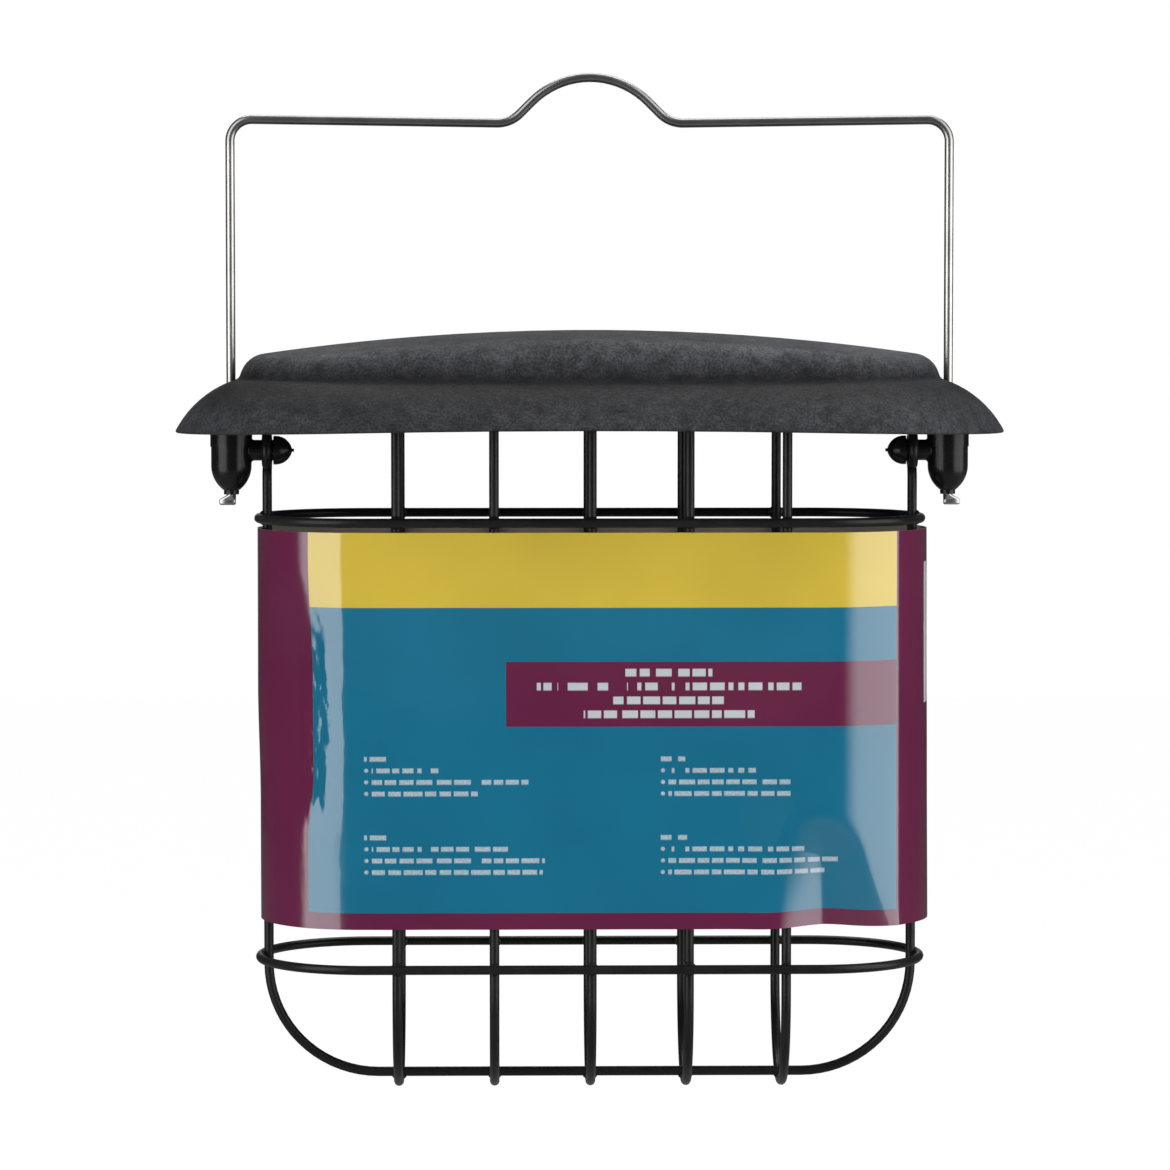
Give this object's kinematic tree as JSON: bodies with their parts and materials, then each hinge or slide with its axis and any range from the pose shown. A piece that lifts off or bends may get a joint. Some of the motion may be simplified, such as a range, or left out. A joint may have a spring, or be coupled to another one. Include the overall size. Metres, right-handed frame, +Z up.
{
  "type": "suet feeder",
  "caption": "Hanging wire cage for a fat block, with a steel wire hanger, a domed plastic lid that slides up its legs and a printed card sleeve round the cage.",
  "frame": {"origin": "where a hook carries the hanger, on the underside of its wire at the top of the hump", "axes": "+X along the feeder's length to the right, +Y to its back, +Z up"},
  "size_m": [0.2068, 0.0938, 0.2538],
  "materials": {
    "bright_steel": "bright nickel-plated steel wire",
    "black_wire": "satin black powder coat on steel wire",
    "black_moulding": "glossy black moulded plastic",
    "grey_moulding": "dark grey moulded plastic with a fine spark texture",
    "printed_card": "varnished printed card in plain fields of teal, yellow and purple"
  },
  "bodies": {
    "hanger": {"hanger_wire": "bright_steel", "fitting_left": "black_moulding", "fitting_right": "black_moulding"},
    "cage": {"rim_ring": "black_wire", "upper_ring": "black_wire", "lower_ring": "black_wire", "long_hoop": "black_wire", "cross_wire_1": "black_wire", "cross_wire_2": "black_wire", "cross_wire_3": "black_wire", "cross_wire_4": "black_wire", "cross_wire_5": "black_wire", "card_sleeve": "printed_card"},
    "lid": {"lid": "grey_moulding"}
  },
  "joints": [
    {"name": "cage_swing", "type": "hinge", "parent": "hanger", "child": "cage", "pos_m": [0, 0, -0.0916], "axis": [1, 0, 0], "range_deg": [-40, 40]},
    {"name": "lid_lift", "type": "slide", "parent": "hanger", "child": "lid", "axis": [0, 0, 1], "range_m": [0, 0.05]}
  ]
}
